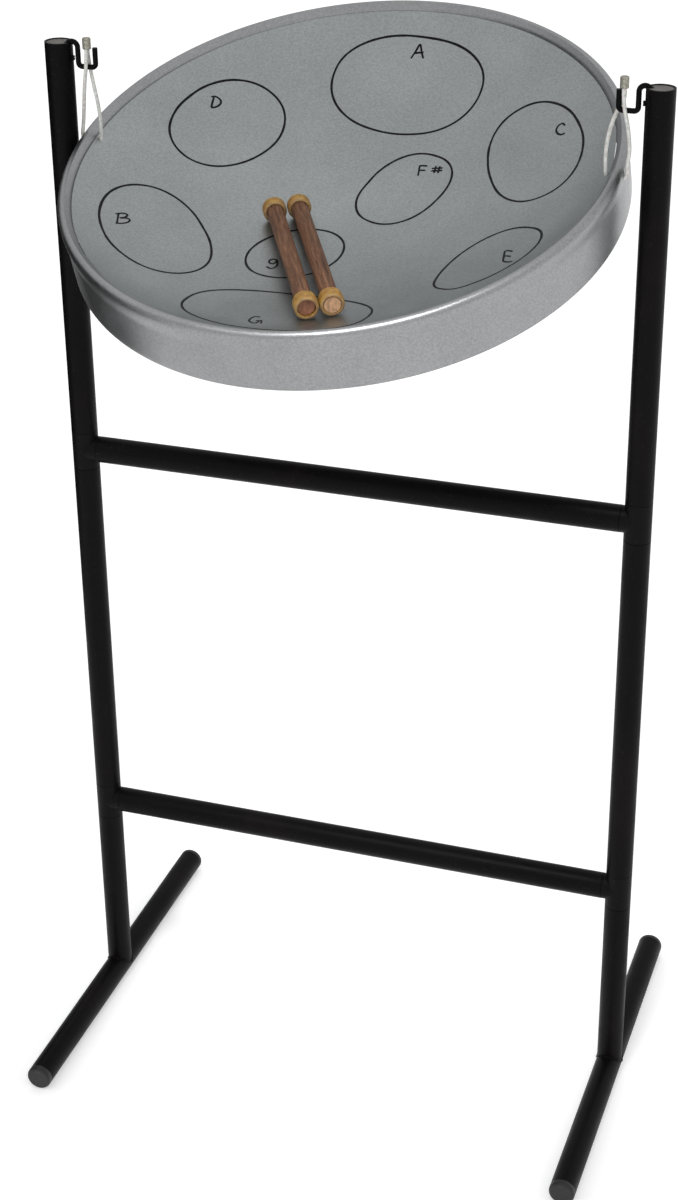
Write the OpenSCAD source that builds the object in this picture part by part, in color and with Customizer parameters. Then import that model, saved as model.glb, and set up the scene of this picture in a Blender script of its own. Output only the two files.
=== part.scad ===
// Small tilted steelpan hung by two cable loops from a knock-down tubular stand,
// with a pair of rubber-ended mallets lying in the bowl.
// Millimetres. X runs along the rungs, Y to the back, Z up from the floor.

/* [Stand] */
// Distance between the axes of the two posts
post_spacing = 458; // [452:1:480]
// Height of the posts' open top ends above the floor
stand_height = 859; // [850:1:862]
// Outside diameter of every tube
tube_od = 21.3; // [20:0.1:21.5]
// Wall thickness of every tube
tube_wall = 1.5; // [1.2:0.1:2]
// Length of one foot over its end caps
foot_length = 348; // [300:2:420]
// Height of the lower rung's axis
lower_rung_height = 189; // [120:1:260]
// Height of the upper rung's axis
upper_rung_height = 526; // [420:1:540]

/* [Hooks] */
// Diameter of the bent hook rods
hook_rod_d = 4; // [3:0.1:4]
// Distance from a post's axis to the hook's outer leg
hook_leg_offset = 15.5; // [15:0.1:16]
// Distance from a post's axis to the hook's tip leg
hook_tip_offset = 29.5; // [29:0.1:31]
// Drop of the hook's bar below the top of the post
hook_bar_drop = 18; // [17:0.5:19]

/* [Pan] */
// Diameter over the rolled rim
pan_d = 422.4; // [420:0.1:422.4]
// Height from the middle of the rim bead to the lower edge of the skirt
skirt_depth = 45; // [40:1:60]
// Depth of the bowl below its seam with the rim
bowl_depth = 51; // [46:1:56]
// Sheet thickness of the bowl
bowl_sheet = 1.2; // [1:0.1:1.4]
// Sheet thickness of the rim and skirt
rim_sheet = 0.9; // [0.8:0.1:1]
// Forward tilt of the playing face
pan_tilt = 19; // [15:0.5:22]
// Sideways lean of the playing face, the left side lower
pan_roll = -2.3; // [-2.6:0.1:-2]
// Turn of the pan about its own axis
pan_turn = -1.8; // [-2:0.1:-1.6]

/* [Loops] */
// Diameter of the coated suspension cable
cable_d = 2.8; // [2.4:0.1:2.8]
// Diameter of the crimped ferrule that closes each loop
ferrule_d = 6.5; // [6.4:0.1:6.8]
// Length of each ferrule
ferrule_length = 8.5; // [8:0.5:12]

/* [Mallets] */
// Length of one mallet over its rubber sleeves
mallet_length = 169; // [160:1:190]
// Diameter of the wooden sticks
stick_d = 12.7; // [12:0.1:13.4]
// Outside diameter of the rubber sleeves
sleeve_d = 17.8; // [16:0.1:17.9]
// Length of the rubber sleeve on a mallet's front end
front_sleeve_length = 12; // [10:1:24]
// Length of the rubber sleeve on a mallet's rear end
rear_sleeve_length = 10; // [8:1:24]
// Angle of the mallets to the front-to-back line
mallet_turn = 29; // [20:1:35]

/* [Hidden] */
$fn = 96;

LEFT = -1;
RIGHT = 1;
FRONT = -1;
REAR = 1;
// gap between parts that are pushed together
fit = 0.05;
// overshoot that keeps cutting faces apart from the faces they cut
cut = 1;

tube_r = tube_od / 2;
bore_r = tube_r - tube_wall;
spigot_r = bore_r - fit;

// foot end caps: a domed head flush with the tube, on a plug
cap_head = 5;
cap_plug = 16;
cap_dome = 2.5;

// tee connectors: half length along the post, reach of the side outlet, spigot length
tee_half = 16;
tee_reach = 13;
tee_spigot = 22;
// the branch is a hair slimmer than the barrel, so that it enters it in one clean curve
branch_step = 0.1;
seam_chamfer = 0.4;

// top plugs and the hooks held in them
plug_length = 24;
plug_recess = 0.6;
hook_r = hook_rod_d / 2;
hook_arc_r = 4.4;
hook_bend_r = 3;
hook_arc_z = stand_height - 3.9;
hook_bar_z = stand_height - hook_bar_drop;
hook_inner_offset = hook_leg_offset - 2 * hook_arc_r;
hook_inner_end = hook_arc_z - 15;
hook_tip_z = stand_height - 3.2;
screw_z = stand_height - 12;
screw_shank_r = 1.25;
screw_head_r = 2;
screw_head_h = 1.4;

// where the pan hangs: the middle of its rim bead, worked out so that its weight
// falls straight below the two holes and the two hook bars
pan_centre = [-4, -7, 790.4];
hole_back = 5.7;
hole_drop = 5;
hole_r = 2.1;

bead_r = 5;
bead_ring_r = pan_d / 2 - bead_r;
skirt_r = bead_ring_r + bead_r * cos(45);
skirt_top = -(bead_r - rim_sheet) * sin(45);
hem_r = 1.8;
flange_drop = 6;
seam_r = bead_ring_r - bead_r;
lip_r = seam_r - fit;
lip_top = -2;
seam_drop = 4;
bowl_curve_r = (lip_r * lip_r + bowl_depth * bowl_depth) / (2 * bowl_depth);
bowl_curve_z = bowl_curve_r - bowl_depth - seam_drop;

ferrule_bore_r = cable_d / 2 + fit;
strand_half_gap = cable_d / 2 + fit;
left_ferrule_at = [-206, 0, 854.4];
right_ferrule_at = [203, 0, 856.5];

// centre lines of the two loops, from the front strand in the ferrule, in front of the
// hook bar, down outside the rim, in through the hole and up again behind the bar
left_loop_route = [
    [-206, -1.5, 862.5], [-206, -1.5, 853.6], [-206, -1.8, 850], [-206, -3.7, 841],
    [-208.5, -2, 829], [-211.5, 1.5, 815], [-214, 4.5, 802], [-215.7, 6.1, 794],
    [-216.6, 6.1, 788], [-216.1, 6.1, 783.4], [-213.8, 6.1, 781.4], [-209, 6.1, 781.3],
    [-204, 6.1, 781.4], [-202, 6.1, 782.9], [-201.3, 6.1, 787], [-200.8, 5.5, 798],
    [-201.4, 4, 812], [-203.8, 3.2, 828], [-206, 3.7, 841], [-206, 1.8, 850],
    [-206, 1.5, 853.6], [-206, 1.5, 862.5],
];
right_loop_route = [
    [203, -1.5, 864.6], [203, -1.5, 855.7], [203.3, -1.9, 851], [205, -3.7, 841],
    [208, -4, 828], [209.8, -5.5, 815], [209.1, -6.1, 804], [208.9, -6.1, 799.2],
    [208.2, -6.1, 795.4], [205.8, -6.1, 793.8], [201, -6.1, 793.8], [196.2, -6.1, 793.8],
    [194.2, -6.1, 795.3], [193.4, -6.1, 799.5], [192.6, -4, 812], [193.4, -0.5, 823],
    [195.6, 2.8, 833], [198.9, 4, 841.5], [202, 4, 847.5], [203.3, 2.2, 852],
    [203, 1.5, 855.7], [203, 1.5, 864.6],
];
cable_sides = 8;
rings_per_leg = 3;

mallet_half = mallet_length / 2;
stick_r = stick_d / 2;
sleeve_r = sleeve_d / 2;
sleeve_wall_gap = 0.05;
mallet_rest_gap = 0.15;
// distance from the centre of the bowl's curve to a mallet's axis when both of its
// ends rest on the bowl
mallet_axis_r = sqrt(pow(bowl_curve_r - mallet_rest_gap, 2) - pow(mallet_half, 2)) - sleeve_r;
left_mallet_at = [-16, -82.1];
right_mallet_at = [0, -73.4];
// how far the sticks stand back inside the front sleeves
left_stick_recess = 2.5;
right_stick_recess = 0.5;
rear_stick_recess = 1;

black = "#1b1a1c";
taupe = "#8b8580";
silver = "#a9adb2";
milky = "#e4e4de";
dull_metal = "#a39b86";
rosewood = "#5f463a";
amber = "#c4903a";

/* ---------- shared shapes ---------- */

module tube(length, outer = tube_r, inner = bore_r) {
    difference() {
        cylinder(r = outer, h = length);
        translate([0, 0, -cut])
            cylinder(r = inner, h = length + 2 * cut);
    }
}

// lays a shape built along +Z onto +X
module along_x() {
    rotate([0, 90, 0]) children();
}

// lays a shape built along +Z onto -Y or +Y
module along_y(way) {
    rotate([-90 * way, 0, 0]) children();
}

module post_axis(side) {
    translate([side * post_spacing / 2, 0, 0]) children();
}

/* ---------- stand ---------- */

module foot_tube(side) {
    length = foot_length - 2 * cap_head;
    color(black)
        post_axis(side) translate([0, -length / 2, tube_r])
            along_y(REAR) tube(length);
}

module foot_cap(side, way) {
    color(black)
        post_axis(side) translate([0, way * (foot_length / 2 - cap_head), tube_r])
            along_y(way) {
                rotate_extrude()
                    union() {
                        square([tube_r, cap_head - cap_dome]);
                        translate([0, cap_head - cap_dome])
                            square([tube_r - cap_dome, cap_dome]);
                        intersection() {
                            translate([tube_r - cap_dome, cap_head - cap_dome])
                                circle(r = cap_dome);
                            square([tube_r, cap_head]);
                        }
                    }
                translate([0, 0, -cap_plug])
                    cylinder(r = spigot_r, h = cap_plug + fit);
            }
}

// the lower posts are fitted over the foot tubes and welded there
module lower_post(side) {
    top = lower_rung_height - tee_half;
    color(black)
        post_axis(side) difference() {
            translate([0, 0, tube_r]) tube(top - tube_r);
            translate([0, -tube_od, tube_r]) along_y(REAR)
                cylinder(r = tube_r + fit, h = 2 * tube_od);
        }
}

module middle_post(side) {
    bottom = lower_rung_height + tee_half;
    color(black)
        post_axis(side) translate([0, 0, bottom])
            tube(upper_rung_height - tee_half - bottom);
}

module upper_post(side) {
    bottom = upper_rung_height + tee_half;
    color(black)
        post_axis(side) difference() {
            translate([0, 0, bottom]) tube(stand_height - bottom);
            hook_rim_notch(side);
            screw_hole(side);
        }
}

module rung(height) {
    length = post_spacing - 2 * tee_reach;
    color(black)
        translate([-length / 2, 0, height]) along_x() tube(length);
}

module chamfered_rod(radius, length) {
    rotate_extrude()
        polygon([
            [0, 0], [radius - seam_chamfer, 0], [radius, seam_chamfer],
            [radius, length - seam_chamfer], [radius - seam_chamfer, length], [0, length],
        ]);
}

// a tee that stands flush between the tubes, with a spigot into each of them
module tee(side, height) {
    color(black)
        post_axis(side) translate([0, 0, height]) {
            translate([0, 0, fit - tee_half]) chamfered_rod(tube_r, 2 * (tee_half - fit));
            rotate([0, -90 * side, 0]) {
                chamfered_rod(tube_r - branch_step, tee_reach - fit);
                cylinder(r = spigot_r, h = tee_reach + tee_spigot);
            }
            translate([0, 0, -tee_half - tee_spigot])
                cylinder(r = spigot_r, h = 2 * (tee_half + tee_spigot));
        }
}

/* ---------- hooks ---------- */

// bent rod in the XZ plane: down into the plug, over the post's rim, down outside it,
// inwards as the bar and up again as the tip; built for the right post, so inwards is -X
module hook_rod(radius) {
    inner_x = -hook_inner_offset;
    leg_x = -hook_leg_offset;
    tip_x = -hook_tip_offset;
    bend_z = hook_bar_z + hook_bend_r;
    translate([inner_x, 0, hook_inner_end])
        cylinder(r = radius, h = hook_arc_z - hook_inner_end, $fn = 32);
    translate([(inner_x + leg_x) / 2, 0, hook_arc_z])
        rod_bend(radius, hook_arc_r, 0, 180);
    translate([leg_x, 0, bend_z])
        cylinder(r = radius, h = hook_arc_z - bend_z, $fn = 32);
    translate([leg_x - hook_bend_r, 0, bend_z])
        rod_bend(radius, hook_bend_r, -90, 90);
    translate([tip_x + hook_bend_r, 0, hook_bar_z]) along_x()
        cylinder(r = radius, h = leg_x - tip_x - 2 * hook_bend_r, $fn = 32);
    translate([tip_x + hook_bend_r, 0, bend_z])
        rod_bend(radius, hook_bend_r, 180, 90);
    translate([tip_x, 0, bend_z])
        cylinder(r = radius, h = hook_tip_z - bend_z, $fn = 32);
}

// part of a ring in the XZ plane, from the angle start over sweep degrees
module rod_bend(radius, bend, start, sweep) {
    rotate([90, 0, 0]) rotate([0, 0, start])
        rotate_extrude(angle = sweep, $fn = 48)
            translate([bend, 0]) circle(r = radius, $fn = 32);
}

module to_side(side) {
    if (side == RIGHT) children();
    else mirror([1, 0, 0]) children();
}

module hook(side) {
    color(black) post_axis(side) to_side(side) hook_rod(hook_r);
}

// the round notch that the rod's bend takes out of the post's rim
module hook_rim_notch(side) {
    to_side(side)
        translate([-hook_inner_offset - hook_arc_r, 0, hook_arc_z])
            rod_bend(hook_r + 0.2, hook_arc_r, 0, 180);
}

// the plug's bore for the rod, open to the side above the start of the bend
module hook_rod_bore(side) {
    bore = hook_r + fit;
    to_side(side) {
        translate([-hook_inner_offset, 0, hook_inner_end - 0.2])
            cylinder(r = bore, h = stand_height + cut - hook_inner_end, $fn = 32);
        translate([-tube_r, -bore - fit, hook_arc_z - fit])
            cube([tube_r - hook_inner_offset, 2 * (bore + fit), plug_length]);
    }
}

module screw_hole(side) {
    to_side(side)
        translate([-tube_r - cut, 0, screw_z]) along_x()
            cylinder(r = screw_shank_r + fit, h = tube_wall + 1.9 + cut, $fn = 32);
}

module top_plug(side) {
    color(taupe)
        post_axis(side) difference() {
            translate([0, 0, stand_height - plug_recess - plug_length])
                cylinder(r = spigot_r, h = plug_length);
            hook_rod_bore(side);
            screw_hole(side);
        }
}

// pan-head screw through the post's wall that pinches the rod inside the plug
module hook_set_screw(side) {
    rod_face = -hook_inner_offset - hook_r - fit;
    color(black)
        post_axis(side) to_side(side) translate([0, 0, screw_z]) {
            translate([-tube_r - fit - screw_head_h, 0, 0]) along_x()
                difference() {
                    cylinder(r = screw_head_r, h = screw_head_h, $fn = 32);
                    translate([-0.3, -screw_head_r, -cut])
                        cube([0.6, 2 * screw_head_r, cut + 0.6]);
                }
            translate([-tube_r - fit, 0, 0]) along_x()
                cylinder(r = screw_shank_r, h = rod_face + tube_r + fit, $fn = 32);
        }
}

/* ---------- suspension loops ---------- */

// point on a smooth curve through four neighbouring route points
function spline_point(a, b, c, d, t) =
    0.5 * (2 * b + (c - a) * t + (2 * a - 5 * b + 4 * c - d) * t * t
        + (3 * b - a - 3 * c + d) * t * t * t);

function smooth_route(points) = [
    for (i = [0 : len(points) - 2])
        for (k = [0 : rings_per_leg - 1])
            spline_point(
                points[max(i - 1, 0)], points[i], points[i + 1],
                points[min(i + 2, len(points) - 1)], k / rings_per_leg),
    points[len(points) - 1],
];

function unit(v) = v / norm(v);

function tangent(path, i) =
    unit(path[min(i + 1, len(path) - 1)] - path[max(i - 1, 0)]);

// each ring's side direction is carried on from the one before, so the tube doesn't twist
function carried(side, along) = unit(side - (side * along) * along);

function ring_sides(path, i, side) =
    i >= len(path) ? [] :
    let (here = carried(side, tangent(path, i)))
    concat([here], ring_sides(path, i + 1, here));

module swept_cable(route) {
    path = smooth_route(route);
    sides = ring_sides(path, 0, [1, 0, 0]);
    rings = len(path);
    points = [
        for (i = [0 : rings - 1])
            let (up = cross(tangent(path, i), sides[i]))
            for (k = [0 : cable_sides - 1])
                let (turn = 360 * k / cable_sides)
                path[i] + cable_d / 2 * (cos(turn) * sides[i] + sin(turn) * up),
    ];
    walls = [
        for (i = [0 : rings - 2])
            for (k = [0 : cable_sides - 1])
                let (next = (k + 1) % cable_sides)
                [
                    i * cable_sides + k, (i + 1) * cable_sides + k,
                    (i + 1) * cable_sides + next, i * cable_sides + next,
                ],
    ];
    first = [for (k = [0 : cable_sides - 1]) k];
    last = [for (k = [cable_sides - 1 : -1 : 0]) (rings - 1) * cable_sides + k];
    polyhedron(points, concat(walls, [first, last]), convexity = 6);
}

module cable_loop(route) {
    color(milky) swept_cable(route);
}

module cable_ferrule(place) {
    color(dull_metal)
        translate(place) difference() {
            cylinder(r = ferrule_d / 2, h = ferrule_length);
            for (way = [FRONT, REAR])
                translate([0, way * (strand_half_gap + fit), -cut])
                    cylinder(r = ferrule_bore_r, h = ferrule_length + 2 * cut, $fn = 32);
            translate([-ferrule_bore_r / 2, -strand_half_gap, -cut])
                cube([ferrule_bore_r, 2 * strand_half_gap, ferrule_length + 2 * cut]);
        }
}

/* ---------- pan ---------- */

module hung_pan() {
    translate(pan_centre)
        rotate([pan_tilt, pan_roll, 0]) rotate([0, 0, pan_turn])
            children();
}

module suspension_holes() {
    for (side = [LEFT, RIGHT])
        translate([side * seam_r - 10, hole_back, -hole_drop]) along_x()
            translate([0, 0, side == LEFT ? -5 : 5])
                cylinder(r = hole_r, h = 20, $fn = 32);
}

// one sheet: the seam flange inside, the rolled bead over the top, the skirt and its hem
module rim_and_skirt() {
    color(silver)
        hung_pan() difference() {
            rotate_extrude($fn = 180) {
                translate([seam_r, -flange_drop])
                    square([rim_sheet, flange_drop + fit]);
                translate([bead_ring_r, 0])
                    difference() {
                        circle(r = bead_r, $fn = 64);
                        circle(r = bead_r - rim_sheet, $fn = 64);
                        polygon([
                            [0, 0], [-2 * bead_r, 0],
                            [-2 * bead_r, -2 * bead_r], [2 * bead_r, -2 * bead_r],
                        ]);
                    }
                translate([skirt_r - rim_sheet, hem_r - skirt_depth])
                    square([rim_sheet, skirt_depth - hem_r + skirt_top]);
                translate([skirt_r - hem_r, hem_r - skirt_depth])
                    difference() {
                        circle(r = hem_r, $fn = 32);
                        circle(r = hem_r - rim_sheet, $fn = 32);
                    }
            }
            suspension_holes();
        }
}

// the concave playing face, with a short lip that stands inside the rim's flange
module playing_bowl() {
    color(silver)
        hung_pan() difference() {
            rotate_extrude($fn = 180) {
                intersection() {
                    translate([0, bowl_curve_z])
                        difference() {
                            circle(r = bowl_curve_r + bowl_sheet, $fn = 720);
                            circle(r = bowl_curve_r, $fn = 720);
                        }
                    translate([0, -2 * bowl_depth])
                        square([lip_r, 2 * bowl_depth]);
                }
                translate([lip_r - bowl_sheet, -seam_drop - bowl_sheet / 2])
                    square([bowl_sheet, seam_drop + bowl_sheet / 2 + lip_top]);
            }
            suspension_holes();
        }
}

/* ---------- mallets ---------- */

// places a mallet built along Z, its front end up, across the bowl over the point at
module laid_in_bowl(at) {
    bearing = atan2(at[1], at[0]);
    hung_pan() translate([0, 0, bowl_curve_z])
        rotate([0, 0, bearing]) rotate([0, -asin(norm(at) / mallet_axis_r), 0])
            rotate([0, 0, mallet_turn - bearing]) translate([0, 0, -mallet_axis_r])
                rotate([90, 0, 0]) children();
}

module mallet_stick(at, front_recess) {
    bottom = rear_stick_recess - mallet_half;
    length = mallet_length - front_recess - rear_stick_recess;
    color(rosewood)
        laid_in_bowl(at) translate([0, 0, bottom]) cylinder(r = stick_r, h = length);
}

module mallet_sleeve(at, way) {
    length = way == FRONT ? front_sleeve_length : rear_sleeve_length;
    color(amber)
        laid_in_bowl(at)
            translate([0, 0, way == FRONT ? mallet_half - length : -mallet_half])
                tube(length, sleeve_r, stick_r + sleeve_wall_gap);
}

/* ---------- nodes ---------- */

foot_tube(LEFT);  // left_foot_tube
foot_tube(RIGHT);  // right_foot_tube
foot_cap(LEFT, FRONT);  // left_front_foot_cap
foot_cap(LEFT, REAR);  // left_rear_foot_cap
foot_cap(RIGHT, FRONT);  // right_front_foot_cap
foot_cap(RIGHT, REAR);  // right_rear_foot_cap
lower_post(LEFT);  // left_lower_post
lower_post(RIGHT);  // right_lower_post
tee(LEFT, lower_rung_height);  // left_lower_tee
tee(RIGHT, lower_rung_height);  // right_lower_tee
rung(lower_rung_height);  // lower_rung
middle_post(LEFT);  // left_middle_post
middle_post(RIGHT);  // right_middle_post
tee(LEFT, upper_rung_height);  // left_upper_tee
tee(RIGHT, upper_rung_height);  // right_upper_tee
rung(upper_rung_height);  // upper_rung
upper_post(LEFT);  // left_upper_post
upper_post(RIGHT);  // right_upper_post
top_plug(LEFT);  // left_top_plug
top_plug(RIGHT);  // right_top_plug
hook(LEFT);  // left_hook
hook(RIGHT);  // right_hook
hook_set_screw(LEFT);  // left_hook_set_screw
hook_set_screw(RIGHT);  // right_hook_set_screw
cable_loop(left_loop_route);  // left_cable_loop
cable_loop(right_loop_route);  // right_cable_loop
cable_ferrule(left_ferrule_at);  // left_cable_ferrule
cable_ferrule(right_ferrule_at);  // right_cable_ferrule
rim_and_skirt();
playing_bowl();
mallet_stick(left_mallet_at, left_stick_recess);  // left_mallet_stick
mallet_stick(right_mallet_at, right_stick_recess);  // right_mallet_stick
mallet_sleeve(left_mallet_at, FRONT);  // left_mallet_front_sleeve
mallet_sleeve(left_mallet_at, REAR);  // left_mallet_rear_sleeve
mallet_sleeve(right_mallet_at, FRONT);  // right_mallet_front_sleeve
mallet_sleeve(right_mallet_at, REAR);  // right_mallet_rear_sleeve
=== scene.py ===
"""Looks of a small steelpan that hangs from a tubular stand, with two mallets in its bowl.

Lengths are in metres in the shared frame, and in millimetres in the pan's and mallets' own frames.
"""

import math

import bmesh
import bpy
from mathutils import Matrix, Vector, noise


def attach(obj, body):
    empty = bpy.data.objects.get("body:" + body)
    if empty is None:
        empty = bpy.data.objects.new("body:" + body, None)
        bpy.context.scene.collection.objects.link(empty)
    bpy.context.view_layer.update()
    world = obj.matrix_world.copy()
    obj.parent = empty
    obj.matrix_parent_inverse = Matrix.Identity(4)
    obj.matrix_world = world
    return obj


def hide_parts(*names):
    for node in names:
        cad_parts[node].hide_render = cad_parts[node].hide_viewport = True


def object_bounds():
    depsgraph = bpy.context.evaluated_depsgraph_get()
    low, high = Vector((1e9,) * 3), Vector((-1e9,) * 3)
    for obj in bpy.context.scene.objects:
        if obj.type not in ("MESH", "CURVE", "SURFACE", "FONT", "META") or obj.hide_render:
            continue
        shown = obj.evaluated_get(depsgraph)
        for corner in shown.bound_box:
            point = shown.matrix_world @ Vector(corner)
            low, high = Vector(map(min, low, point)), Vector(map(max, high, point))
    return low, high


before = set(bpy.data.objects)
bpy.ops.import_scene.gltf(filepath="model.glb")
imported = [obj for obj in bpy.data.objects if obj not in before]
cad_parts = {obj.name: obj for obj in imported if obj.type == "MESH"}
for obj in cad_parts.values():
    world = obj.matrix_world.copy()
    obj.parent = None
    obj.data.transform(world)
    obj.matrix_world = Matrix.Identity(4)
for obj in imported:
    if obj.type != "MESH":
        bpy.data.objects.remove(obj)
cad_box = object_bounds()

MM = 0.001

# ---------- camera ----------

CAMERA_PLACE = (0.517, -1.5245, 1.2707)
CAMERA_YAW = 0.3204
CAMERA_PITCH = -0.4662
CAMERA_ROLL = -0.0067
CAMERA_LENS = 67.54
CAMERA_SENSOR = 36
CAMERA_SHIFT = (-0.0224, -0.0361)


def add_camera():
    """The camera, turned by its yaw, pitch and roll, in that order."""
    yaw, pitch = CAMERA_YAW, CAMERA_PITCH
    forward = Vector(
        (-math.sin(yaw) * math.cos(pitch), math.cos(yaw) * math.cos(pitch), math.sin(pitch))
    )
    level = Vector((math.cos(yaw), math.sin(yaw), 0))
    above = level.cross(forward)
    right = math.cos(CAMERA_ROLL) * level + math.sin(CAMERA_ROLL) * above
    up = math.cos(CAMERA_ROLL) * above - math.sin(CAMERA_ROLL) * level
    data = bpy.data.cameras.new("camera")
    data.lens = CAMERA_LENS
    data.sensor_width = CAMERA_SENSOR
    data.shift_x, data.shift_y = CAMERA_SHIFT
    camera = bpy.data.objects.new("camera", data)
    turn = Matrix((right, up, -forward)).transposed().to_4x4()
    camera.matrix_world = Matrix.Translation(CAMERA_PLACE) @ turn
    bpy.context.scene.collection.objects.link(camera)
    bpy.context.scene.camera = camera


add_camera()

# ---------- the pan's own frame ----------

PAN_CENTRE = (-4.0, -7.0, 790.4)
PAN_TILT, PAN_ROLL, PAN_TURN = (math.radians(a) for a in (19, -2.3, -1.8))

PAN = (
    Matrix.Scale(MM, 4)
    @ Matrix.Translation(PAN_CENTRE)
    @ Matrix.Rotation(PAN_ROLL, 4, "Y")
    @ Matrix.Rotation(PAN_TILT, 4, "X")
    @ Matrix.Rotation(PAN_TURN, 4, "Z")
)

PAN_SEGMENTS = 288
BEAD_R = 5.0
BEAD_RING_R = 206.2
SHEET = 0.9
SKIRT_R = BEAD_RING_R + BEAD_R * math.cos(math.radians(45))
SKIRT_DEPTH = 45.0
HEM_R = 1.8
LIP_R = 201.15
BOWL_SHEET = 1.2
BOWL_DEPTH = 51.0
SEAM_DROP = 4.0
BOWL_R = (LIP_R**2 + BOWL_DEPTH**2) / (2 * BOWL_DEPTH)
BOWL_CENTRE_Z = BOWL_R - BOWL_DEPTH - SEAM_DROP
HOLE_BACK = 5.7
HOLE_DROP = 5.0
HOLE_R = 2.1
DRILL_LENGTH = 26

# ---------- mesh helpers ----------


def new_piece(name, points, faces, material, body, slot, place=None, sharp=35):
    """A smooth mesh piece that rides on a body; place turns its own millimetres into the frame."""
    mesh = bpy.data.meshes.new(name)
    mesh.from_pydata([tuple(p) for p in points], [], faces)
    tidy = bmesh.new()
    tidy.from_mesh(mesh)
    bmesh.ops.recalc_face_normals(tidy, faces=tidy.faces)
    tidy.to_mesh(mesh)
    tidy.free()
    mesh.shade_smooth()
    mesh.set_sharp_from_angle(angle=math.radians(sharp))
    mesh.materials.append(material)
    piece = bpy.data.objects.new(name, mesh)
    bpy.context.scene.collection.objects.link(piece)
    piece.matrix_world = place or Matrix.Identity(4)
    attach(piece, body)
    return piece


def lathe(profile, segments):
    """Points and faces of a closed (radius, height) outline turned about Z; radius 0 is a pole."""
    points, faces, rows = [], [], []
    for radius, height in profile:
        if radius < 1e-6:
            rows.append([len(points)] * segments)
            points.append((0, 0, height))
        else:
            rows.append(list(range(len(points), len(points) + segments)))
            for k in range(segments):
                turn = 2 * math.pi * k / segments
                points.append((radius * math.cos(turn), radius * math.sin(turn), height))
    for i, low in enumerate(rows):
        high = rows[(i + 1) % len(rows)]
        if low[0] == low[1] and high[0] == high[1]:
            continue
        for k in range(segments):
            n = (k + 1) % segments
            ring = [low[k], low[n], high[n], high[k]]
            faces.append(tuple(dict.fromkeys(ring)))
    return points, faces


def arc(centre_x, centre_y, radius, start, end, steps):
    """Points of an arc, its angles in degrees."""
    turns = [math.radians(start + (end - start) * i / steps) for i in range(steps + 1)]
    return [(centre_x + radius * math.cos(t), centre_y + radius * math.sin(t)) for t in turns]


def spline_point(a, b, c, d, t):
    """The point a share t of the way from b to c on a Catmull-Rom curve."""
    return 0.5 * (
        2 * b + (c - a) * t + (2 * a - 5 * b + 4 * c - d) * t * t
        + (3 * b - a - 3 * c + d) * t**3
    )


def smooth_path(points, steps):
    """A smooth open curve through the points, with that many steps from one to the next."""
    points = [Vector(p) for p in points]
    last = len(points) - 1
    path = []
    for i in range(last):
        near = (points[max(i - 1, 0)], points[i], points[i + 1], points[min(i + 2, last)])
        path += [spline_point(*near, k / steps) for k in range(steps)]
    return path + [points[last]]


# ---------- material helpers ----------


class Surface:
    """A Principled material and short ways to put procedural detail on it."""

    def __init__(self, name, **sockets):
        self.material = bpy.data.materials.new(name)
        self.material.use_nodes = True
        self.nodes = self.material.node_tree.nodes
        self.links = self.material.node_tree.links
        self.shader = self.nodes["Principled BSDF"]
        for label, value in sockets.items():
            self.shader.inputs[label.replace("_", " ")].default_value = value
        self.place = self.nodes.new("ShaderNodeTexCoord").outputs["Object"]

    def stretched(self, scale):
        node = self.nodes.new("ShaderNodeMapping")
        node.inputs["Scale"].default_value = scale
        self.links.new(self.place, node.inputs["Vector"])
        return node.outputs["Vector"]

    def noise(self, scale, detail=3.0, roughness=0.5, place=None, distortion=0.0):
        node = self.nodes.new("ShaderNodeTexNoise")
        for label, value in (
            ("Scale", scale), ("Detail", detail),
            ("Roughness", roughness), ("Distortion", distortion),
        ):
            node.inputs[label].default_value = value
        self.links.new(place or self.place, node.inputs["Vector"])
        return node.outputs["Fac"]

    def ramp(self, value, *stops):
        """Colours between stops of (place, colour)."""
        node = self.nodes.new("ShaderNodeValToRGB")
        row = node.color_ramp.elements
        while len(row) < len(stops):
            row.new(0.5)
        for element, (at, colour) in zip(row, stops):
            element.position = at
            element.color = (*colour, 1)
        self.links.new(value, node.inputs["Fac"])
        return node.outputs["Color"]

    def span(self, value, low, high, start=0.3, end=0.7):
        """Maps a noise value from start..end to low..high."""
        node = self.nodes.new("ShaderNodeMapRange")
        for label, number in (
            ("From Min", start), ("From Max", end), ("To Min", low), ("To Max", high)
        ):
            node.inputs[label].default_value = number
        self.links.new(value, node.inputs["Value"])
        return node.outputs["Result"]

    def mixed(self, factor, first, second, blend="MIX"):
        node = self.nodes.new("ShaderNodeMix")
        node.data_type = "RGBA"
        node.blend_type = blend
        colours = [s for s in node.inputs if s.type == "RGBA"]
        for socket, given in zip((node.inputs["Factor"], *colours), (factor, first, second)):
            if isinstance(given, bpy.types.NodeSocket):
                self.links.new(given, socket)
            elif isinstance(given, tuple):
                socket.default_value = (*given, 1)
            else:
                socket.default_value = given
        return [s for s in node.outputs if s.type == "RGBA"][0]

    def colour(self, value):
        self.links.new(value, self.shader.inputs["Base Color"])

    def roughness(self, value):
        self.links.new(value, self.shader.inputs["Roughness"])

    def bump(self, height, strength, distance):
        node = self.nodes.new("ShaderNodeBump")
        node.inputs["Strength"].default_value = strength
        node.inputs["Distance"].default_value = distance
        self.links.new(height, node.inputs["Height"])
        previous = self.shader.inputs["Normal"].links
        if previous:
            self.links.new(previous[0].from_socket, node.inputs["Normal"])
        self.links.new(node.outputs["Normal"], self.shader.inputs["Normal"])


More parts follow.
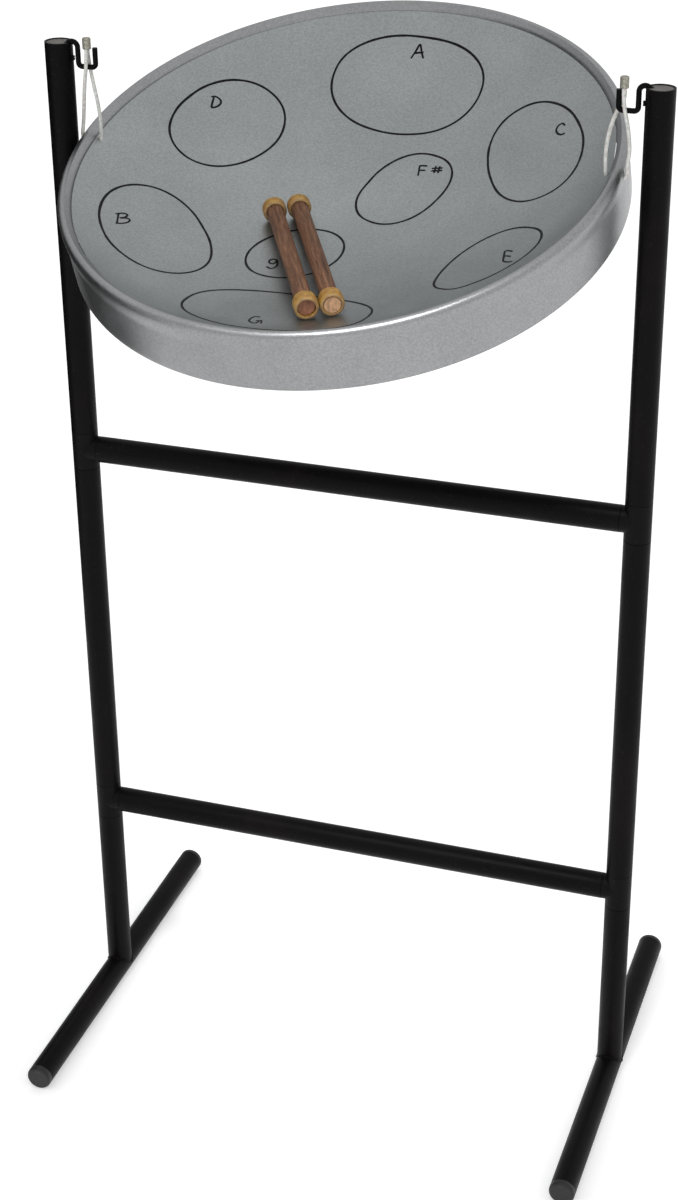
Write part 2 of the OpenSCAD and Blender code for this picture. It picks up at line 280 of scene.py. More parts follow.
def pan_silver(name, tone):
    """Satin silver: a fine metallic grain, a mottle, faint cloudy patches and handling smears."""
    surface = Surface(name, Metallic=1.0, Roughness=0.36)
    grain = surface.noise(1.6, 4, 0.7)
    clouds = surface.noise(0.012, 3, 0.55)
    dark, light = (tuple(scale * c for c in tone) for scale in (0.92, 1.07))
    base = surface.ramp(clouds, (0.3, dark), (0.55, tone), (0.75, light))
    flecks = surface.ramp(grain, (0.32, (0.66, 0.67, 0.68)), (0.6, (1, 1, 1)))
    speckle = surface.noise(0.62, 2, 0.6)
    mottle = surface.ramp(speckle, (0.35, (0.89, 0.89, 0.89)), (0.65, (1.1, 1.1, 1.1)))
    metal = surface.mixed(1.0, base, mottle, "MULTIPLY")
    surface.colour(surface.mixed(0.35, metal, flecks, "MULTIPLY"))
    smears = surface.noise(0.03, 5, 0.65, distortion=0.6)
    surface.roughness(surface.span(smears, 0.32, 0.42))
    surface.bump(grain, 0.06, 0.15)
    return surface.material


def black_enamel(name, tone):
    """Satin black enamel with a faint orange peel, dust in it and a warm cast."""
    surface = Surface(name, Roughness=0.4, Specular_IOR_Level=0.07)
    clouds = surface.noise(9, 4, 0.6)
    dark = tuple(0.75 * c for c in tone)
    light = (1.9 * tone[0], 1.6 * tone[1], 1.75 * tone[2])
    dust = surface.ramp(surface.noise(900, 2, 0.5), (0.66, (0, 0, 0)), (0.76, (0.02, 0.018, 0.018)))
    base = surface.ramp(clouds, (0.35, dark), (0.55, tone), (0.72, light))
    surface.colour(surface.mixed(1.0, base, dust, "ADD"))
    surface.roughness(surface.span(surface.noise(35, 5, 0.6), 0.33, 0.5))
    surface.bump(surface.noise(650, 2, 0.5), 0.12, 0.0003)
    return surface.material


def moulded_plastic(name, tone, spread):
    """Matt moulded plastic: a fine spark-eroded grain and a little dust."""
    surface = Surface(name, Roughness=0.5)
    dark = tuple(c * (1 - spread) for c in tone)
    light = tuple(c * (1 + spread) for c in tone)
    surface.colour(surface.ramp(surface.noise(120, 5, 0.7), (0.35, dark), (0.65, light)))
    surface.roughness(surface.span(surface.noise(300, 3, 0.5), 0.42, 0.6))
    surface.bump(surface.noise(2200, 2, 0.5), 0.2, 0.0001)
    return surface.material


def milky_vinyl(name):
    """Clear vinyl over wire rope, which looks milky white with the strands' twist showing faintly."""
    surface = Surface(name, Roughness=0.28)
    surface.shader.inputs["Subsurface Weight"].default_value = 0.15
    surface.shader.inputs["Subsurface Scale"].default_value = 0.001
    surface.shader.inputs["Coat Weight"].default_value = 0.3
    surface.colour(
        surface.ramp(
            surface.noise(420, 4, 0.6),
            (0.3, (0.52, 0.52, 0.49)), (0.5, (0.72, 0.72, 0.69)), (0.7, (0.84, 0.84, 0.81)),
        )
    )
    surface.bump(surface.noise(700, 3, 0.5), 0.15, 0.0003)
    return surface.material


def dull_aluminium(name):
    """Crimped aluminium, dulled and scratched by the pliers."""
    surface = Surface(name, Metallic=1.0, Roughness=0.42)
    clouds = surface.noise(0.5, 5, 0.7)
    dark, middle, light = (0.3, 0.28, 0.22), (0.46, 0.44, 0.38), (0.62, 0.6, 0.55)
    surface.colour(surface.ramp(clouds, (0.3, dark), (0.55, middle), (0.75, light)))
    scratches = surface.noise(1.5, 5, 0.6, surface.stretched((6, 6, 0.5)))
    surface.roughness(surface.span(scratches, 0.32, 0.55))
    surface.bump(scratches, 0.3, 0.15)
    return surface.material


def rosewood(name, offset):
    """Oiled rosewood: dark pores and streaks run along the stick."""
    surface = Surface(name, Roughness=0.55, Specular_IOR_Level=0.14)
    shift = surface.nodes.new("ShaderNodeMapping")
    shift.inputs["Location"].default_value = offset
    shift.inputs["Scale"].default_value = (1, 1, 0.06)
    surface.links.new(surface.place, shift.inputs["Vector"])
    along = shift.outputs["Vector"]
    streaks = surface.noise(0.55, 6, 0.62, along, 1.2)
    pores = surface.noise(3.2, 3, 0.6, along)
    base = surface.ramp(
        streaks,
        (0.3, (0.05, 0.023, 0.014)), (0.46, (0.12, 0.057, 0.032)),
        (0.6, (0.2, 0.1, 0.056)), (0.75, (0.29, 0.155, 0.09)),
    )
    dark_pores = surface.ramp(pores, (0.36, (0.35, 0.32, 0.3)), (0.48, (1, 1, 1)))
    surface.colour(surface.mixed(0.8, base, dark_pores, "MULTIPLY"))
    surface.roughness(surface.span(streaks, 0.38, 0.55))
    surface.bump(pores, 0.35, 0.12)
    return surface.material


def end_grain(name, tone):
    """Cut end of a stick: pinkish brown rings with darker rays."""
    surface = Surface(name, Roughness=0.6)
    rings = surface.noise(0.5, 6, 0.7, surface.stretched((1, 0.35, 1)), 0.8)
    dark, light = (tuple(scale * c for c in tone) for scale in (0.55, 1.35))
    surface.colour(surface.ramp(rings, (0.32, dark), (0.5, tone), (0.68, light)))
    surface.bump(rings, 0.3, 0.2)
    return surface.material


def amber_latex(name, pale):
    """Translucent amber latex with a faint extruded grain and cloudy patches; pale where it is cut."""
    surface = Surface(name, Roughness=0.42)
    surface.shader.inputs["Subsurface Weight"].default_value = 0.35
    surface.shader.inputs["Subsurface Radius"].default_value = (1.0, 0.45, 0.12)
    surface.shader.inputs["Subsurface Scale"].default_value = 0.003
    clouds = surface.noise(0.16, 5, 0.6, distortion=0.5)
    tones = ((0.18, 0.085, 0.009), (0.29, 0.15, 0.02), (0.42, 0.25, 0.05))
    deep, middle, light = (tuple(c + pale * (0.9 - c) for c in tone) for tone in tones)
    surface.colour(surface.ramp(clouds, (0.3, deep), (0.5, middle), (0.72, light)))
    surface.roughness(surface.span(surface.noise(0.6, 4, 0.6), 0.36, 0.52))
    surface.bump(surface.noise(0.9, 4, 0.6, surface.stretched((1, 1, 0.3))), 0.2, 0.12)
    return surface.material


def marker_ink(name):
    """Dried marker: near black with a slightly starved stroke."""
    surface = Surface(name, Roughness=0.5, Specular_IOR_Level=0.12)
    starved = surface.noise(0.35, 5, 0.6)
    surface.colour(surface.ramp(starved, (0.35, (0.002, 0.002, 0.0025)), (0.7, (0.009, 0.009, 0.01))))
    surface.roughness(surface.span(surface.noise(0.6, 3, 0.5), 0.4, 0.6))
    return surface.material


# ---------- suspension loops ----------

LOOP_ROUTES = {
    "left": [
        (-206, -1.5, 862.5), (-206, -1.5, 853.6), (-206, -1.8, 850), (-206, -3.7, 841),
        (-208.5, -2, 829), (-211.5, 1.5, 815), (-214, 4.5, 802), (-215.7, 6.1, 794),
        (-216.6, 6.1, 788), (-216.1, 6.1, 783.4), (-213.8, 6.1, 781.4), (-209, 6.1, 781.3),
        (-204, 6.1, 781.4), (-202, 6.1, 782.9), (-201.3, 6.1, 787), (-200.8, 5.5, 798),
        (-201.4, 4, 812), (-203.8, 3.2, 828), (-206, 3.7, 841), (-206, 1.8, 850),
        (-206, 1.5, 853.6), (-206, 1.5, 862.5),
    ],
    "right": [
        (203, -1.5, 864.6), (203, -1.5, 855.7), (203.3, -1.9, 851), (205, -3.7, 841),
        (208, -4, 828), (209.8, -5.5, 815), (209.1, -6.1, 804), (208.9, -6.1, 799.2),
        (208.2, -6.1, 795.4), (205.8, -6.1, 793.8), (201, -6.1, 793.8), (196.2, -6.1, 793.8),
        (194.2, -6.1, 795.3), (193.4, -6.1, 799.5), (192.6, -4, 812), (193.4, -0.5, 823),
        (195.6, 2.8, 833), (198.9, 4, 841.5), (202, 4, 847.5), (203.3, 2.2, 852),
        (203, 1.5, 855.7), (203, 1.5, 864.6),
    ],
}
FERRULE_PLACES = {"left": (-206, 0, 854.4), "right": (203, 0, 856.5)}
CABLE_D = 2.8
FERRULE_LENGTH = 8.5
FERRULE_R = 3.25


def crimped_ferrule(side, material):
    """A short sleeve, lightly squeezed twice by the crimping pliers, its ends rolled in."""
    around, end = 40, FERRULE_LENGTH
    rows = [(0.55, 0), (0.2, 0.25), (0, 0.6)]
    rows += [(0, 0.6 + (end - 1.2) * i / 30) for i in range(1, 31)]
    rows += [(0.2, end - 0.25), (0.55, end), (1.0, end), (1.15, end - 0.3)]
    points, faces = [], []
    for edge, height in rows:
        squeeze = sum(math.exp(-(((height - at * end) / 0.9) ** 2)) for at in (0.3, 0.7))
        wide = FERRULE_R - edge
        deep = FERRULE_R - edge - 0.1 - 0.32 * squeeze
        for k in range(around):
            turn = 2 * math.pi * k / around
            points.append((wide * math.cos(turn), deep * math.sin(turn), height))
    for i in range(len(rows) - 1):
        for k in range(around):
            n = (k + 1) % around
            faces.append(
                (i * around + k, i * around + n, (i + 1) * around + n, (i + 1) * around + k)
            )
    faces.append(tuple(range(around)))
    faces.append(tuple(range((len(rows) - 1) * around, len(rows) * around)))
    place = Matrix.Scale(MM, 4) @ Matrix.Translation(FERRULE_PLACES[side])
    return new_piece(f"{side}_ferrule", points, faces, material, "loops", "ferrule_metal", place)


def cable_loop(side, material):
    """A loop of coated cable along its route, both ends in its ferrule."""
    path = smooth_path([Vector(p) * MM for p in LOOP_ROUTES[side]], 8)
    curve = bpy.data.curves.new(f"{side}_loop", "CURVE")
    curve.dimensions = "3D"
    curve.bevel_depth = CABLE_D / 2 * MM
    curve.bevel_resolution = 5
    curve.use_fill_caps = True
    spline = curve.splines.new("POLY")
    spline.points.add(len(path) - 1)
    for point, co in zip(spline.points, path):
        point.co = (*co, 1)
    spline.use_smooth = True
    curve.materials.append(material)
    loop = bpy.data.objects.new(f"{side}_loop", curve)
    bpy.context.scene.collection.objects.link(loop)
    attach(loop, "loops")
    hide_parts(f"{side}_cable_loop")


vinyl = milky_vinyl("milky_vinyl")
crimped = dull_aluminium("dull_aluminium")
for side in ("left", "right"):
    ferrule = crimped_ferrule(side, crimped)
    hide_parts(f"{side}_cable_ferrule")
    cable_loop(side, vinyl)

# ---------- pan: rim, skirt and bowl ----------

# The rim and skirt's silver is a little darker than the bowl's: painted shade, which offsets the
# glowing floor that the skirt reflects.
rim_silver = pan_silver("rim_silver", (0.338, 0.344, 0.351))
bowl_silver = pan_silver("bowl_silver", (0.354, 0.374, 0.376))


def cut_holes(piece, places, radius, length):
    """Drills holes along the pan's X through a piece in the pan's frame."""
    for number, (x, y, z) in enumerate(places):
        tool_mesh = bpy.data.meshes.new("drill")
        tool = bmesh.new()
        turn = Matrix.Translation((x, y, z)) @ Matrix.Rotation(math.pi / 2, 4, "Y")
        bmesh.ops.create_cone(
            tool, cap_ends=True, segments=24, radius1=radius, radius2=radius, depth=length, matrix=turn
        )
        tool.to_mesh(tool_mesh)
        tool.free()
        drill = bpy.data.objects.new(f"drill_{number}", tool_mesh)
        bpy.context.scene.collection.objects.link(drill)
        drill.matrix_world = piece.matrix_world
        cut = piece.modifiers.new("hole", "BOOLEAN")
        cut.operation = "DIFFERENCE"
        cut.solver = "EXACT"
        cut.object = drill
        bpy.context.view_layer.update()
        graph = bpy.context.evaluated_depsgraph_get()
        result = bpy.data.meshes.new_from_object(piece.evaluated_get(graph))
        piece.modifiers.clear()
        old = piece.data
        piece.data = result
        bpy.data.meshes.remove(old)
        bpy.data.objects.remove(drill)
    piece.data.set_sharp_from_angle(angle=math.radians(35))


def rim_outline():
    """Closed outline of the rolled rim: flange, bead, skirt and hem, then back up inside."""
    outer = [(LIP_R + 0.05, -6.0), (LIP_R + 0.05, -2.0)]
    outer += [(201.5, 0.4), (202.6, 1.9), (204.1, 3.5)]
    outer += arc(BEAD_RING_R, 0, BEAD_R, 100, 0, 20)
    bulge, fall = BEAD_RING_R + BEAD_R - SKIRT_R, 13
    for i in range(1, 13):
        ease = 0.5 + 0.5 * math.cos(math.pi * i / 12)
        outer.append((SKIRT_R + bulge * ease, -fall * i / 12))
    outer += [(SKIRT_R, -20), (SKIRT_R, -28), (SKIRT_R, -36), (SKIRT_R, -40)]
    hem_x, hem_z = SKIRT_R - HEM_R, HEM_R - SKIRT_DEPTH
    outer += arc(hem_x, hem_z, HEM_R, 0, -250, 20)
    inner = [(SKIRT_R - SHEET, hem_z + HEM_R + 1.2), (SKIRT_R - SHEET, -25), (SKIRT_R - SHEET, -5.5)]
    inner += arc(BEAD_RING_R, 0, BEAD_R - SHEET, -40, 100, 18)
    inner += [(204.4, 2.5), (203.1, 1.1), (202.4, -0.2)]
    inner += [(LIP_R + 0.05 + SHEET, -6.0)]
    return outer + inner


rim = new_piece("rim_skirt", *lathe(rim_outline(), PAN_SEGMENTS), rim_silver, "pan", "rim_steel", PAN)
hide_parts("rim_and_skirt")
hole_ring_x = math.sqrt(BEAD_RING_R**2 - HOLE_BACK**2)
hole_places = [(way * hole_ring_x, HOLE_BACK, -HOLE_DROP) for way in (-1, 1)]
cut_holes(rim, hole_places, HOLE_R, DRILL_LENGTH)

# Notes: centre, half length, half width, turn in degrees, egg shape, squareness; all in mm.
NOTES = {
    "A": (1.5, 140.0, 62.0, 43.5, -6, 0.03, 2.2),
    "D": (-125.5, 69.0, 47.5, 37.0, 62, 0.09, 2.15),
    "C": (125.0, 61.0, 35.5, 56.5, 24, 0.1, 2.15),
    "B": (-123.0, -63.0, 36.5, 57.0, 39, -0.2, 2.05),
    "E": (121.5, -80.0, 43.5, 28.0, 60, 0.31, 2.35),
    "G": (0.5, -147.5, 68.5, 36.5, -1, -0.03, 2.4),
    "F_sharp": (30.0, 35.0, 40.5, 32.0, 69, 0.03, 2.3),
    "g_high": (-27.5, -55.0, 38.0, 31.5, 54, 0.07, 2.0),
}
NOTE_RISE = 0.3
# A note's dome runs out a little past its drawn line.
NOTE_SPREAD = 1.12


def note_radius(note, bearing):
    """Distance from a note's centre to its outline, at a bearing in the pan's frame."""
    _, _, half_length, half_width, turn, egg, squareness = NOTES[note]
    along = bearing - math.radians(turn)
    c, s = math.cos(along), math.sin(along)
    reach = abs(c / half_length) ** squareness + abs(s / half_width) ** squareness
    return reach ** (-1 / squareness) * (1 + egg * c)


def note_rise(x, y):
    """How far the notes stand up from the sunken bowl at a point: a low dome, soft at its edge."""
    rise = 0.0
    for note, values in NOTES.items():
        dx, dy = x - values[0], y - values[1]
        away = math.hypot(dx, dy)
        if away > 90:
            continue
        ratio = away / note_radius(note, math.atan2(dy, dx))
        if ratio < NOTE_SPREAD:
            rise += NOTE_RISE * 0.5 * (1 + math.cos(math.pi * ratio / NOTE_SPREAD))
    return rise


def hammered(x, y):
    """The last unevenness of a hand-sunk bowl."""
    return 0.16 * noise.noise(Vector((x, y, 0)) * 0.02) + 0.05 * noise.noise(Vector((x, y, 9)) * 0.05)


SHOULDER_R = 172.0
SHOULDER_TOP = -0.5


def bowl_height(x, y):
    """Height of the playing face: a sunken bowl that turns up into the rim's groove."""
    radius = min(math.hypot(x, y), LIP_R - 0.1)
    base = BOWL_CENTRE_Z - math.sqrt(BOWL_R**2 - radius**2)
    if radius > SHOULDER_R:
        t = (radius - SHOULDER_R) / (LIP_R - 0.1 - SHOULDER_R)
        top = SHOULDER_TOP - (BOWL_CENTRE_Z - math.sqrt(BOWL_R**2 - (LIP_R - 0.1) ** 2))
        base += top * t**2
    fade = max(0.0, min(1.0, (SHOULDER_R - radius) / 12))
    return base + fade * (note_rise(x, y) + hammered(x, y))


def bowl_mesh():
    """A thin dish: the playing face and the underside, joined at the lip."""
    around, flat_rings, edge_start = PAN_SEGMENTS, 96, 192.5
    radii = [2.0 * i for i in range(flat_rings)]
    radii += [edge_start + (LIP_R - 0.1 - edge_start) * (1 - (1 - i / 18) ** 2) for i in range(19)]
    points, rows = [], []
    for under in (0, BOWL_SHEET):
        for radius in radii if not under else reversed(radii):
            if radius == 0:
                points.append((0, 0, bowl_height(0, 0) - under))
                rows.append([len(points) - 1] * around)
                continue
            start = len(points)
            for k in range(around):
                turn = 2 * math.pi * k / around
                reach = radius if not under else min(radius, LIP_R - BOWL_SHEET)
                x, y = reach * math.cos(turn), reach * math.sin(turn)
                plain = BOWL_CENTRE_Z - math.sqrt(BOWL_R**2 - reach**2)
                points.append((x, y, plain - under if under else bowl_height(x, y)))
            rows.append(list(range(start, start + around)))
    faces = []
    for low, high in zip(rows, rows[1:]):
        if low[0] == low[1] and high[0] == high[1]:
            continue
        for k in range(around):
            n = (k + 1) % around
            faces.append(tuple(dict.fromkeys([low[k], low[n], high[n], high[k]])))
    return points, faces


bowl = new_piece("bowl", *bowl_mesh(), bowl_silver, "pan", "bowl_steel", PAN, sharp=60)
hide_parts("playing_bowl")

# ---------- marker lines and letters ----------

ink = marker_ink("marker_ink")
LINE_W = 1.75
LETTER_W = 1.55


def inked(name, strokes, wide):
    """Marker strokes as thin ribbons that follow the bowl; a closed stroke ends where it starts."""
    points, faces = [], []
    for closed, line in strokes:
        start, count = len(points), len(line)
        for i, here in enumerate(line):
            before = line[i - 1] if i or closed else here
            after = line[(i + 1) % count] if i < count - 1 or closed else here
            along = (after - before).normalized()
            side = Vector((-along.y, along.x, 0))
            press = 1 + 0.22 * noise.noise(Vector((here.x, here.y, 3)) * 0.12)
            half = wide / 2 * press
            if not closed:
                half *= min(1.0, 0.7 + 0.3 * min(i, count - 1 - i))
            for reach, lift in ((-half, 0.13), (half, 0.13), (half, -0.12), (-half, -0.12)):
                spot = here + reach * side
                points.append((spot.x, spot.y, bowl_height(spot.x, spot.y) + lift))
        turns = count if closed else count - 1
        for i in range(turns):
            a, b = start + 4 * i, start + 4 * ((i + 1) % count)
            for k in range(4):
                n = (k + 1) % 4
                faces.append((a + k, a + n, b + n, b + k))
        if not closed:
            last = start + 4 * (count - 1)
            faces += [(start, start + 1, start + 2, start + 3), (last, last + 1, last + 2, last + 3)]
    return new_piece(name, points, faces, ink, "pan", "bowl_steel", PAN, sharp=50)


def oval_line(note):
    """The drawn outline of a note, with a hand's slight waver."""
    x0, y0 = NOTES[note][:2]
    line = []
    for k in range(200):
        bearing = 2 * math.pi * k / 200
        spot = Vector((math.cos(bearing), math.sin(bearing), 0))
        waver = 0.5 * noise.noise(spot * 1.8 + Vector((x0, y0, 0)))
        line.append(Vector((x0, y0, 0)) + spot * (note_radius(note, bearing) + waver))
    return line


for note in NOTES:
    inked(f"note_line_{note}", [(True, oval_line(note))], LINE_W)

# Letters: where the foot starts, the width and the height as steps in mm, and the strokes on a
# unit square.
LETTERS = {
    "A": ((-0.5, 165.5), (10.5, 0.5), (-3.0, 11.5), [
        [(0, 0), (0.36, 0.5), (0.73, 1), (0.84, 0.5), (0.96, 0)],
        [(0.2, 0.36), (0.55, 0.42), (1.0, 0.44)]]),
    "D": ((-140.5, 84.0), (7.0, 3.5), (-3.0, 10.0), [
        [(0.28, 0.93), (0.14, 0.5), (0.03, 0.03)],
        [(0.0, 0.98), (0.42, 1.0), (0.82, 0.78), (0.98, 0.48), (0.8, 0.2), (0.4, 0.03), (0, 0)]]),
    "C": ((140.0, 79.0), (8.5, -3.0), (-3.0, 12.0), [
        [(0.95, 0.82), (0.75, 1), (0.42, 0.9), (0.14, 0.62),
         (0.06, 0.3), (0.25, 0.05), (0.6, 0), (0.95, 0.14)]]),
    "F": ((36.0, 52.5), (8.0, 0.0), (-3.5, 11.5), [
        [(0.1, 0), (0.2, 0.5), (0.28, 0.95)],
        [(0.24, 0.95), (0.65, 0.96), (1.05, 0.92)],
        [(0.18, 0.5), (0.5, 0.52), (0.85, 0.5)]]),
    "sharp": ((46.5, 55.5), (9.0, -0.5), (-2.0, 7.5), [
        [(0.26, 0), (0.34, 0.5), (0.42, 1)], [(0.62, 0), (0.7, 0.5), (0.78, 1)],
        [(0, 0.3), (0.5, 0.34), (1, 0.38)], [(0.04, 0.66), (0.5, 0.7), (1.04, 0.74)]]),
    "B": ((-155.5, -74.5), (8.0, 7.0), (-5.0, 12.0), [
        [(0.12, 0.02), (0.17, 0.5), (0.22, 0.97)],
        [(0.02, 0.95), (0.5, 1), (0.82, 0.86), (0.7, 0.62), (0.3, 0.54)],
        [(0.3, 0.54), (0.8, 0.5), (1.0, 0.28), (0.8, 0.07), (0.4, 0.0), (0.02, 0.02)]]),
    "g": ((-39.0, -77.5), (8.0, 2.5), (-5.0, 12.5), [
        [(0.92, 0.9), (0.6, 1), (0.3, 0.86), (0.28, 0.62), (0.55, 0.5), (0.85, 0.66), (0.93, 0.92),
         (0.96, 0.4), (0.72, 0.08), (0.35, 0.0), (0.0, 0.2)]]),
    "E": ((143.0, -76.5), (9.5, -5.0), (-6.0, 19.5), [
        [(0.95, 0.95), (0.5, 1), (0.2, 0.9), (0.12, 0.5), (0.06, 0.06), (0.5, 0), (0.92, 0.07)],
        [(0.14, 0.5), (0.4, 0.53), (0.75, 0.5)]]),
    "G": ((-12.0, -172.0), (8.5, 3.0), (-6.0, 13.0), [
        [(0.85, 0.9), (0.5, 1), (0.16, 0.76), (0.0, 0.4), (0.2, 0.1), (0.5, 0.05), (0.76, 0.3)],
        [(0.5, 0.4), (0.74, 0.41), (0.98, 0.42)], [(0.94, 0.42), (0.92, 0.2), (0.9, -0.02)]]),
}

for letter, (foot, across, up, strokes) in LETTERS.items():
    foot, across, up = (Vector((*v, 0)) for v in (foot, across, up))
    lines = [
        (False, smooth_path([foot + x * across + y * up for x, y in stroke], 6)) for stroke in strokes
    ]
    inked(f"letter_{letter}", lines, LETTER_W)

# ---------- mallets ----------

MALLET_HALF = 84.5
STICK_R = 6.35
SLEEVE_R = 8.9
FRONT_SLEEVE = 12.0
REAR_SLEEVE = 10.0
MALLET_TURN = 29.0
REST_GAP = 0.15
MALLET_AXIS_R = math.sqrt((BOWL_R - REST_GAP) ** 2 - MALLET_HALF**2) - SLEEVE_R
MALLETS = {
    "left": {"at": (-16.0, -82.1), "recess": 2.5, "grain": (3, 1, 20), "end": (0.36, 0.155, 0.09)},
    "right": {"at": (0.0, -73.4), "recess": 0.5, "grain": (40, 17, 5), "end": (0.64, 0.37, 0.205)},
}
REAR_RECESS = 1.0


def mallet_place(at):
    """The frame of a mallet laid across the bowl over a point, its front end along +Z."""
    bearing = math.atan2(at[1], at[0])
    lean = -math.asin(math.hypot(*at) / MALLET_AXIS_R)
    return (
        PAN
        @ Matrix.Translation((0, 0, BOWL_CENTRE_Z))
        @ Matrix.Rotation(bearing, 4, "Z")
        @ Matrix.Rotation(lean, 4, "Y")
        @ Matrix.Rotation(math.radians(MALLET_TURN) - bearing, 4, "Z")
        @ Matrix.Translation((0, 0, -MALLET_AXIS_R))
        @ Matrix.Rotation(math.pi / 2, 4, "X")
    )


def stick_mesh(low, high):
    """A turned stick with eased ends, the end faces slightly uneven from the saw."""
    ease, steps = 0.5, 40
    length = high - low - 2 * ease
    outline = [(0, low)] + [(STICK_R * i / 6, low) for i in range(1, 6)]
    outline += arc(STICK_R - ease, low + ease, ease, -90, 0, 4)
    for i in range(1, steps):
        waver = 0.05 * (0.5 + 0.5 * noise.noise(Vector((high, 0, i * 0.6))))
        outline.append((STICK_R - waver, low + ease + length * i / steps))
    outline += arc(STICK_R - ease, high - ease, ease, 0, 90, 4)
    outline += [(STICK_R * i / 6, high) for i in range(5, 0, -1)] + [(0, high)]
    return lathe(outline, 64)


def sleeve_mesh(low, high, seed):
    """A soft latex tube: rounded lips, a little slack and a slightly skewed cut end."""
    inside, inner_lip, outer_lip = STICK_R + 0.05, 0.5, 1.9
    outline = [(inside, low + inner_lip + (high - low - 2 * inner_lip) * i / 10) for i in range(11)]
    outline += arc(inside + inner_lip, high - inner_lip, inner_lip, 180, 90, 5)[1:]
    outline += arc(SLEEVE_R - outer_lip, high - outer_lip, outer_lip, 90, 0, 9)
    wall = high - low - 2 * outer_lip
    outline += [(SLEEVE_R, high - outer_lip - wall * i / 12) for i in range(1, 12)]
    outline += arc(SLEEVE_R - outer_lip, low + outer_lip, outer_lip, 0, -90, 9)
    outline += arc(inside + inner_lip, low + inner_lip, inner_lip, -90, -180, 5)[:-1]
    points, faces = lathe(outline, 72)
    shaped = []
    for x, y, z in points:
        radius = math.hypot(x, y)
        outside = max(0.0, (radius - inside) / (SLEEVE_R - inside))
        slack = noise.noise(Vector((x, y, z)) * 0.18 + Vector((seed, 0, 0)))
        dent = 0.12 * outside * (0.5 + 0.5 * slack)
        z = min(max(z, low), high)
        shaped.append((x * (1 - dent / radius), y * (1 - dent / radius), z))
    return shaped, faces


latex = amber_latex("amber_latex", 0.0)
cut_latex = amber_latex("cut_latex", 0.07)
for side, mallet in MALLETS.items():
    place = mallet_place(mallet["at"])
    body = f"{side}_mallet"
    low, high = REAR_RECESS - MALLET_HALF, MALLET_HALF - mallet["recess"]
    stick = new_piece(
        f"{side}_stick", *stick_mesh(low, high), rosewood(f"{side}_rosewood", mallet["grain"]),
        body, "stick_wood", place,
    )
    stick.data.materials.append(end_grain(f"{side}_end_grain", mallet["end"]))
    for face in stick.data.polygons:
        if abs(face.normal.z) > 0.9:
            face.material_index = 1
    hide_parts(f"{side}_mallet_stick")
    for end, low, high in (
        ("front", MALLET_HALF - FRONT_SLEEVE, MALLET_HALF),
        ("rear", -MALLET_HALF, REAR_SLEEVE - MALLET_HALF),
    ):
        seed = len(end) * 7 + len(side)
        sleeve = new_piece(
            f"{side}_{end}_latex", *sleeve_mesh(low, high, seed), latex, body, "sleeve_rubber", place
        )
        sleeve.data.materials.append(cut_latex)
        for face in sleeve.data.polygons:
            if abs(face.normal.z) > 0.6:
                face.material_index = 1
        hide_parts(f"{side}_mallet_{end}_sleeve")

# ---------- stand ----------

TUBE_R = 10.65
POST_X = 229.0

enamel = black_enamel("black_enamel", (0.0036, 0.003, 0.0034))
tee_enamel = black_enamel("tee_enamel", (0.0048, 0.0041, 0.0044))
rod_enamel = black_enamel("rod_enamel", (0.003, 0.0028, 0.003))
cap_plastic = moulded_plastic("cap_plastic", (0.007, 0.0066, 0.0068), 0.25)
# The plugs' pale taupe is painted light: it stands in for the sheen that the light above puts on their
# tops.
plug_plastic = moulded_plastic("plug_plastic", (0.11, 0.103, 0.088), 0.2)


def node_material(name):
    """The material for a CAD node that stays visible, by the part that its name mentions."""
    for part, material in (
        ("foot_cap", cap_plastic), ("plug", plug_plastic), ("hook", rod_enamel), ("tee", tee_enamel),
    ):
        if part in name:
            return material
    return enamel


for name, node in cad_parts.items():
    if node.hide_render:
        continue
    node.data.materials.clear()
    node.data.materials.append(node_material(name))


def weld_bead(side, way):
    """A low fillet weld along the saddle where a post stands on its foot tube."""
    around, count, bead = 10, 120, 0.85
    points, faces = [], []
    path = []
    for i in range(count):
        turn = 2 * math.pi * i / count
        rise = TUBE_R * math.sqrt(math.sin(turn) ** 2 + 0.006)
        reach = TUBE_R + 0.15
        path.append(Vector((reach * math.cos(turn), reach * math.sin(turn), TUBE_R + rise)))
    for i, here in enumerate(path):
        along = (path[(i + 1) % count] - path[i - 1]).normalized()
        out = Vector((here.x, here.y, 0)).normalized()
        side_way = along.cross(out).normalized()
        out = side_way.cross(along)
        size = bead * (1 + 0.16 * math.sin(i * math.pi / 2.5) + 0.15 * noise.noise(here * 0.5))
        for k in range(around):
            turn = 2 * math.pi * k / around
            points.append(here + size * (math.cos(turn) * out + math.sin(turn) * side_way))
    for i in range(count):
        for k in range(around):
            n, j = (k + 1) % around, (i + 1) % count
            faces.append((i * around + k, i * around + n, j * around + n, j * around + k))
    place = Matrix.Scale(MM, 4) @ Matrix.Translation((way * POST_X, 0, 0))
    new_piece(f"{side}_foot_weld", points, faces, enamel, "stand", "tube_enamel", place)


weld_bead("left", -1)
weld_bead("right", 1)

# ---------- floor and light ----------


def add_floor():
    """A wide matt floor, nearly white."""
    surface = Surface("floor", Roughness=0.9)
    surface.colour(
        surface.ramp(surface.noise(3, 4, 0.6), (0.3, (0.92, 0.92, 0.92)), (0.7, (0.94, 0.94, 0.94)))
    )
    surface.shader.inputs["Emission Color"].default_value = (1, 1, 1, 1)
    surface.shader.inputs["Emission Strength"].default_value = 0.38
    mesh = bpy.data.meshes.new("floor")
    half = 12
    corners = [(-half, -half, 0), (half, -half, 0), (half, half, 0), (-half, half, 0)]
    mesh.from_pydata(corners, [], [(0, 1, 2, 3)])
    mesh.materials.append(surface.material)
    floor = bpy.data.objects.new("floor", mesh)
    bpy.context.scene.collection.objects.link(floor)
    floor.location.z = cad_box[0].z


FLAG_ENDS = ((-1.3, -0.8), (-0.95, 0.95))
FLAG_LOW, FLAG_HIGH = 0.02, 1.1
# How far the felt's foot runs along the floor towards the stand.
FLAG_FOOT = 0.24


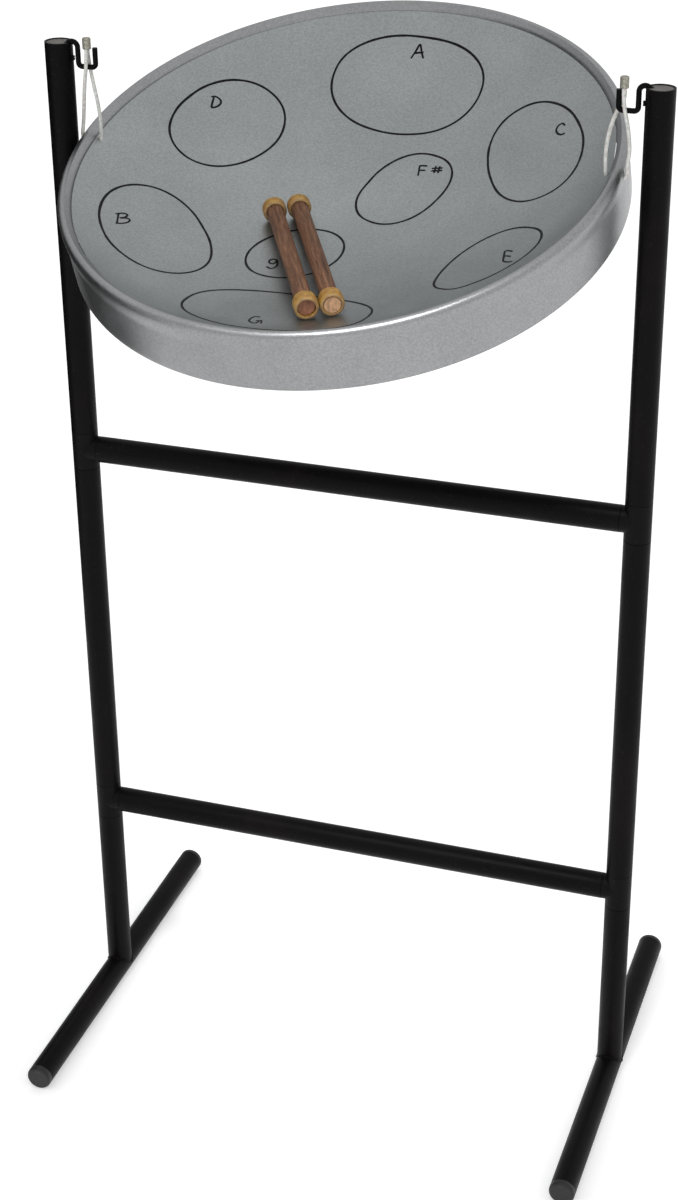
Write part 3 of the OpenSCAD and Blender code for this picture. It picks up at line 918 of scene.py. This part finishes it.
def add_flag():
    """A bent sheet of black felt at the left, seen only in the reflections of metal and enamel."""
    surface = Surface("felt", Roughness=0.95, Specular_IOR_Level=0.05)
    fibres = surface.noise(60, 4, 0.6)
    surface.colour(surface.ramp(fibres, (0.3, (0.008, 0.008, 0.008)), (0.7, (0.014, 0.014, 0.014))))
    front, back = FLAG_ENDS
    corners = [(front[0] + FLAG_FOOT, front[1], FLAG_LOW), (back[0] + FLAG_FOOT, back[1], FLAG_LOW)]
    corners += [(*front, FLAG_LOW), (*back, FLAG_LOW), (*front, FLAG_HIGH), (*back, FLAG_HIGH)]
    mesh = bpy.data.meshes.new("flag")
    mesh.from_pydata(corners, [], [(0, 1, 3, 2), (2, 3, 5, 4)])
    mesh.materials.append(surface.material)
    flag = bpy.data.objects.new("flag", mesh)
    bpy.context.scene.collection.objects.link(flag)
    flag.visible_camera = False
    flag.visible_shadow = False
    flag.visible_diffuse = False


def add_world():
    """Soft white surroundings, brighter above and in front than low down at the back."""
    world = bpy.data.worlds.new("studio")
    world.use_nodes = True
    nodes, links = world.node_tree.nodes, world.node_tree.links
    sky = nodes["Background"]
    place = nodes.new("ShaderNodeTexCoord")
    across = nodes.new("ShaderNodeVectorMath")
    across.operation = "DOT_PRODUCT"
    across.inputs[1].default_value = (0.45, -0.35, 0.82)
    links.new(place.outputs["Generated"], across.inputs[0])
    shade = nodes.new("ShaderNodeMapRange")
    for label, number in (("From Min", -0.3), ("From Max", 0.42), ("To Min", 0.65), ("To Max", 0.84)):
        shade.inputs[label].default_value = number
    links.new(across.outputs["Value"], shade.inputs["Value"])
    links.new(shade.outputs["Result"], sky.inputs["Strength"])
    sky.inputs["Color"].default_value = (1, 1, 1, 1)
    bpy.context.scene.world = world


def add_spot(name, place, target, power):
    """A soft narrow lamp at a place, aimed at a target, which glints on the near rim."""
    data = bpy.data.lights.new(name, "SPOT")
    data.energy = power
    data.spot_size = math.radians(20)
    data.spot_blend = 0.9
    data.shadow_soft_size = 0.2
    lamp = bpy.data.objects.new(name, data)
    lamp.location = place
    lamp.rotation_euler = (Vector(place) - Vector(target)).to_track_quat("Z", "Y").to_euler()
    bpy.context.scene.collection.objects.link(lamp)


add_floor()
add_flag()
add_world()
add_spot("rim_lamp", (0.03, -0.55, 1.5), (0.02, -0.21, 0.765), 62)
bpy.context.scene.view_settings.view_transform = "Standard"
